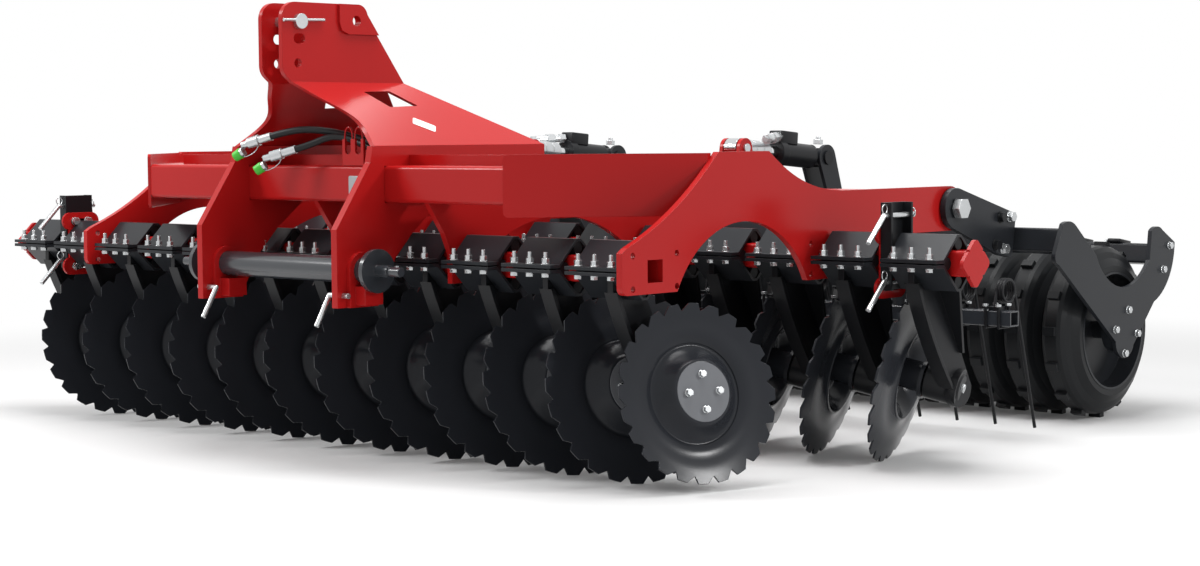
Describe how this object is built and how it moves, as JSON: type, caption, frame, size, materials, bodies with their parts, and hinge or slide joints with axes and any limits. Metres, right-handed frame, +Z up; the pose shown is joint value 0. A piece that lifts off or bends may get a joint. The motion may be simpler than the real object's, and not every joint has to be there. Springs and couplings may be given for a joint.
{
  "type": "disc harrow",
  "caption": "Three-point-mounted compact disc harrow with two rows of notched discs on rubber-sprung arms, a spring-tine bar and a rubber-ring packer roller set by two cylinders.",
  "frame": {"origin": "middle of the footprint on the ground", "axes": "-Y toward the tractor, +X to the machine's left, +Z up"},
  "size_m": [3.56, 2.9381, 1.4001],
  "materials": {
    "red_paint": "gloss",
    "graphite_paint": "satin",
    "disc_paint": "satin",
    "black_paint": "satin",
    "zinc_steel": "satin",
    "rubber": "matte",
    "chrome_rod": "polished",
    "hose_rubber": "matte"
  },
  "bodies": {
    "frame": {"front_beam": "red_paint", "wing_plates": "red_paint", "side_plate_left": "red_paint", "side_plate_right": "red_paint", "rear_frame": "red_paint", "hitch_plates": "red_paint", "mast_plates": "red_paint", "pins": "zinc_steel", "lower_link_bar": "graphite_paint", "hitch_saddles": "red_paint", "front_tool_bar": "red_paint", "rear_tool_bar": "red_paint", "clamp_shells": "graphite_paint", "rubber_cords": "rubber", "disc_arms": "graphite_paint", "disc_adjusters": "black_paint", "adjuster_guides": "red_paint", "tine_bar": "graphite_paint", "tine_hangers": "graphite_paint", "tines": "black_paint", "hose_1": "hose_rubber", "hose_2": "hose_rubber", "hose_couplings": "zinc_steel", "hose_holder": "red_paint"},
    "disc_front_01": {"disc_front_01": "disc_paint"},
    "disc_front_02": {"disc_front_02": "disc_paint"},
    "disc_front_03": {"disc_front_03": "disc_paint"},
    "disc_front_04": {"disc_front_04": "disc_paint"},
    "disc_front_05": {"disc_front_05": "disc_paint"},
    "disc_front_06": {"disc_front_06": "disc_paint"},
    "disc_front_07": {"disc_front_07": "disc_paint"},
    "disc_front_08": {"disc_front_08": "disc_paint"},
    "disc_front_09": {"disc_front_09": "disc_paint"},
    "disc_front_10": {"disc_front_10": "disc_paint"},
    "disc_front_11": {"disc_front_11": "disc_paint"},
    "disc_front_12": {"disc_front_12": "disc_paint"},
    "disc_rear_01": {"disc_rear_01": "disc_paint"},
    "disc_rear_02": {"disc_rear_02": "disc_paint"},
    "disc_rear_03": {"disc_rear_03": "disc_paint"},
    "disc_rear_04": {"disc_rear_04": "disc_paint"},
    "disc_rear_05": {"disc_rear_05": "disc_paint"},
    "disc_rear_06": {"disc_rear_06": "disc_paint"},
    "disc_rear_07": {"disc_rear_07": "disc_paint"},
    "disc_rear_08": {"disc_rear_08": "disc_paint"},
    "disc_rear_09": {"disc_rear_09": "disc_paint"},
    "disc_rear_10": {"disc_rear_10": "disc_paint"},
    "disc_rear_11": {"disc_rear_11": "disc_paint"},
    "disc_rear_12": {"disc_rear_12": "disc_paint"},
    "roller_frame": {"roller_arms": "graphite_paint", "roller_beam": "graphite_paint", "levers": "graphite_paint", "roller_end_plates": "graphite_paint", "scraper_beam": "graphite_paint", "scrapers": "graphite_paint"},
    "roller": {"roller_drum": "graphite_paint", "roller_rings": "rubber"},
    "barrel_left": {"cylinder_barrel_left": "black_paint"},
    "rod_left": {"cylinder_rod_left": "chrome_rod"},
    "barrel_right": {"cylinder_barrel_right": "black_paint"},
    "rod_right": {"cylinder_rod_right": "chrome_rod"}
  },
  "joints": [
    {"name": "disc_front_01_spin", "type": "hinge", "parent": "frame", "child": "disc_front_01", "pos_m": [-1.4375, -0.964, 0.27417], "axis": [0.9267, -0.3011, 0.225], "continuous": true},
    {"name": "disc_front_02_spin", "type": "hinge", "parent": "frame", "child": "disc_front_02", "pos_m": [-1.1875, -0.964, 0.27417], "axis": [0.9267, -0.3011, 0.225], "continuous": true},
    {"name": "disc_front_03_spin", "type": "hinge", "parent": "frame", "child": "disc_front_03", "pos_m": [-0.9375, -0.964, 0.27417], "axis": [0.9267, -0.3011, 0.225], "continuous": true},
    {"name": "disc_front_04_spin", "type": "hinge", "parent": "frame", "child": "disc_front_04", "pos_m": [-0.6875, -0.964, 0.27417], "axis": [0.9267, -0.3011, 0.225], "continuous": true},
    {"name": "disc_front_05_spin", "type": "hinge", "parent": "frame", "child": "disc_front_05", "pos_m": [-0.4375, -0.964, 0.27417], "axis": [0.9267, -0.3011, 0.225], "continuous": true},
    {"name": "disc_front_06_spin", "type": "hinge", "parent": "frame", "child": "disc_front_06", "pos_m": [-0.1875, -0.964, 0.27417], "axis": [0.9267, -0.3011, 0.225], "continuous": true},
    {"name": "disc_front_07_spin", "type": "hinge", "parent": "frame", "child": "disc_front_07", "pos_m": [0.0625, -0.964, 0.27417], "axis": [0.9267, -0.3011, 0.225], "continuous": true},
    {"name": "disc_front_08_spin", "type": "hinge", "parent": "frame", "child": "disc_front_08", "pos_m": [0.3125, -0.964, 0.27417], "axis": [0.9267, -0.3011, 0.225], "continuous": true},
    {"name": "disc_front_09_spin", "type": "hinge", "parent": "frame", "child": "disc_front_09", "pos_m": [0.5625, -0.964, 0.27417], "axis": [0.9267, -0.3011, 0.225], "continuous": true},
    {"name": "disc_front_10_spin", "type": "hinge", "parent": "frame", "child": "disc_front_10", "pos_m": [0.8125, -0.964, 0.27417], "axis": [0.9267, -0.3011, 0.225], "continuous": true},
    {"name": "disc_front_11_spin", "type": "hinge", "parent": "frame", "child": "disc_front_11", "pos_m": [1.0625, -0.964, 0.27417], "axis": [0.9267, -0.3011, 0.225], "continuous": true},
    {"name": "disc_front_12_spin", "type": "hinge", "parent": "frame", "child": "disc_front_12", "pos_m": [1.3125, -0.964, 0.27417], "axis": [0.9267, -0.3011, 0.225], "continuous": true},
    {"name": "disc_rear_01_spin", "type": "hinge", "parent": "frame", "child": "disc_rear_01", "pos_m": [-1.3125, -0.164, 0.27417], "axis": [-0.9267, -0.3011, 0.225], "continuous": true},
    {"name": "disc_rear_02_spin", "type": "hinge", "parent": "frame", "child": "disc_rear_02", "pos_m": [-1.0625, -0.164, 0.27417], "axis": [-0.9267, -0.3011, 0.225], "continuous": true},
    {"name": "disc_rear_03_spin", "type": "hinge", "parent": "frame", "child": "disc_rear_03", "pos_m": [-0.8125, -0.164, 0.27417], "axis": [-0.9267, -0.3011, 0.225], "continuous": true},
    {"name": "disc_rear_04_spin", "type": "hinge", "parent": "frame", "child": "disc_rear_04", "pos_m": [-0.5625, -0.164, 0.27417], "axis": [-0.9267, -0.3011, 0.225], "continuous": true},
    {"name": "disc_rear_05_spin", "type": "hinge", "parent": "frame", "child": "disc_rear_05", "pos_m": [-0.3125, -0.164, 0.27417], "axis": [-0.9267, -0.3011, 0.225], "continuous": true},
    {"name": "disc_rear_06_spin", "type": "hinge", "parent": "frame", "child": "disc_rear_06", "pos_m": [-0.0625, -0.164, 0.27417], "axis": [-0.9267, -0.3011, 0.225], "continuous": true},
    {"name": "disc_rear_07_spin", "type": "hinge", "parent": "frame", "child": "disc_rear_07", "pos_m": [0.1875, -0.164, 0.27417], "axis": [-0.9267, -0.3011, 0.225], "continuous": true},
    {"name": "disc_rear_08_spin", "type": "hinge", "parent": "frame", "child": "disc_rear_08", "pos_m": [0.4375, -0.164, 0.27417], "axis": [-0.9267, -0.3011, 0.225], "continuous": true},
    {"name": "disc_rear_09_spin", "type": "hinge", "parent": "frame", "child": "disc_rear_09", "pos_m": [0.6875, -0.164, 0.27417], "axis": [-0.9267, -0.3011, 0.225], "continuous": true},
    {"name": "disc_rear_10_spin", "type": "hinge", "parent": "frame", "child": "disc_rear_10", "pos_m": [0.9375, -0.164, 0.27417], "axis": [-0.9267, -0.3011, 0.225], "continuous": true},
    {"name": "disc_rear_11_spin", "type": "hinge", "parent": "frame", "child": "disc_rear_11", "pos_m": [1.1875, -0.164, 0.27417], "axis": [-0.9267, -0.3011, 0.225], "continuous": true},
    {"name": "disc_rear_12_spin", "type": "hinge", "parent": "frame", "child": "disc_rear_12", "pos_m": [1.4375, -0.164, 0.27417], "axis": [-0.9267, -0.3011, 0.225], "continuous": true},
    {"name": "roller_lift", "type": "hinge", "parent": "frame", "child": "roller_frame", "pos_m": [0, 0.361, 0.748], "axis": [1, 0, 0], "range_deg": [-2, 13]},
    {"name": "roller_spin", "type": "hinge", "parent": "roller_frame", "child": "roller", "pos_m": [0, 1.12239, 0.30632], "axis": [1, 0, 0], "continuous": true},
    {"name": "cylinder_left_turn", "type": "hinge", "parent": "roller_frame", "child": "barrel_left", "pos_m": [0.5, 0.66283, 0.90669], "axis": [1, 0, 0], "range_deg": [-5.31, 1.24]},
    {"name": "cylinder_left_stroke", "type": "slide", "parent": "barrel_left", "child": "rod_left", "axis": [0, -0.9966, 0.0827], "range_m": [-0.0449, 0.0077]},
    {"name": "cylinder_right_turn", "type": "hinge", "parent": "roller_frame", "child": "barrel_right", "pos_m": [-0.5, 0.66283, 0.90669], "axis": [1, 0, 0], "range_deg": [-5.31, 1.24]},
    {"name": "cylinder_right_stroke", "type": "slide", "parent": "barrel_right", "child": "rod_right", "axis": [0, -0.9966, 0.0827], "range_m": [-0.0449, 0.0077]}
  ],
  "couplings": [
    {"joint": "cylinder_left_turn", "follows": "roller_lift", "ratio": -0.37008},
    {"joint": "cylinder_left_stroke", "follows": "roller_lift", "m_per_rad": -0.19333},
    {"joint": "cylinder_right_turn", "follows": "roller_lift", "ratio": -0.37008},
    {"joint": "cylinder_right_stroke", "follows": "roller_lift", "m_per_rad": -0.19333}
  ]
}
